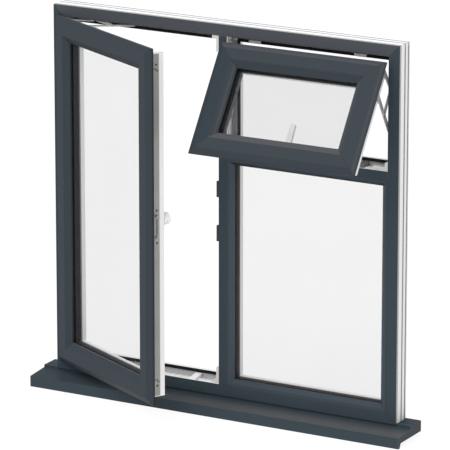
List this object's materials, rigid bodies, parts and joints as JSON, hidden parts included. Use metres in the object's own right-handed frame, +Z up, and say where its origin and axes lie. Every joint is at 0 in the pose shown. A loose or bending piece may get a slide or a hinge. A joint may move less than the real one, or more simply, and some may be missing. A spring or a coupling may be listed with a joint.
{
  "type": "aluminium casement window",
  "caption": "Glazed aluminium casement window on a projecting sill, with a side-hung sash and a top-hung vent standing open and a fixed light below the vent.",
  "frame": {"origin": "on the underside of the sill, at mid width, below the front face of the outer frame", "axes": "+X to the right seen from outside, +Y into the room, +Z up"},
  "size_m": [1.3, 0.3473, 1.225],
  "materials": {
    "grey_frame": "anthracite satin outside, white inside",
    "glass": "clear sealed unit",
    "seal": "black matt",
    "spacer": "dark matt",
    "white_trim": "white satin",
    "hardware_steel": "zinc plated",
    "black_hardware": "black",
    "grey_plastic": "light grey",
    "dark_plastic": "dark grey",
    "white_handle": "white gloss"
  },
  "bodies": {
    "root": {"casement_beads": "white_trim", "casement_bottom_rail": "grey_frame", "casement_glass": "glass", "casement_handle_base": "white_handle", "casement_handle_lever": "white_handle", "casement_hinge_stile": "grey_frame", "casement_lock_stile": "grey_frame", "casement_lock_strip": "hardware_steel", "casement_seals": "seal", "casement_spacer_bar": "spacer", "casement_top_rail": "grey_frame", "casement_weather_seal": "seal", "corner_blocks": "grey_plastic", "fixed_light_beads": "grey_frame", "fixed_light_glass": "glass", "fixed_light_seals": "seal", "fixed_light_spacer_bar": "spacer", "frame_bottom_rail": "grey_frame", "frame_head": "grey_frame", "frame_left_jamb": "grey_frame", "frame_right_jamb": "grey_frame", "head_seal_clips": "grey_plastic", "lock_keeps": "black_hardware", "mullion": "grey_frame", "run_up_blocks": "grey_plastic", "sill": "grey_frame", "sill_end_caps": "dark_plastic", "stay_arms": "hardware_steel", "stay_bars": "hardware_steel", "stay_links": "hardware_steel", "stay_tracks": "hardware_steel", "transom": "grey_frame", "vent_beads": "white_trim", "vent_bottom_rail": "grey_frame", "vent_glass": "glass", "vent_handle_base": "white_handle", "vent_handle_lever": "white_handle", "vent_left_stile": "grey_frame", "vent_lock_strip": "hardware_steel", "vent_right_stile": "grey_frame", "vent_seals": "seal", "vent_spacer_bar": "spacer", "vent_top_rail": "grey_frame", "vent_weather_seal": "seal"}
  },
  "joints": []
}
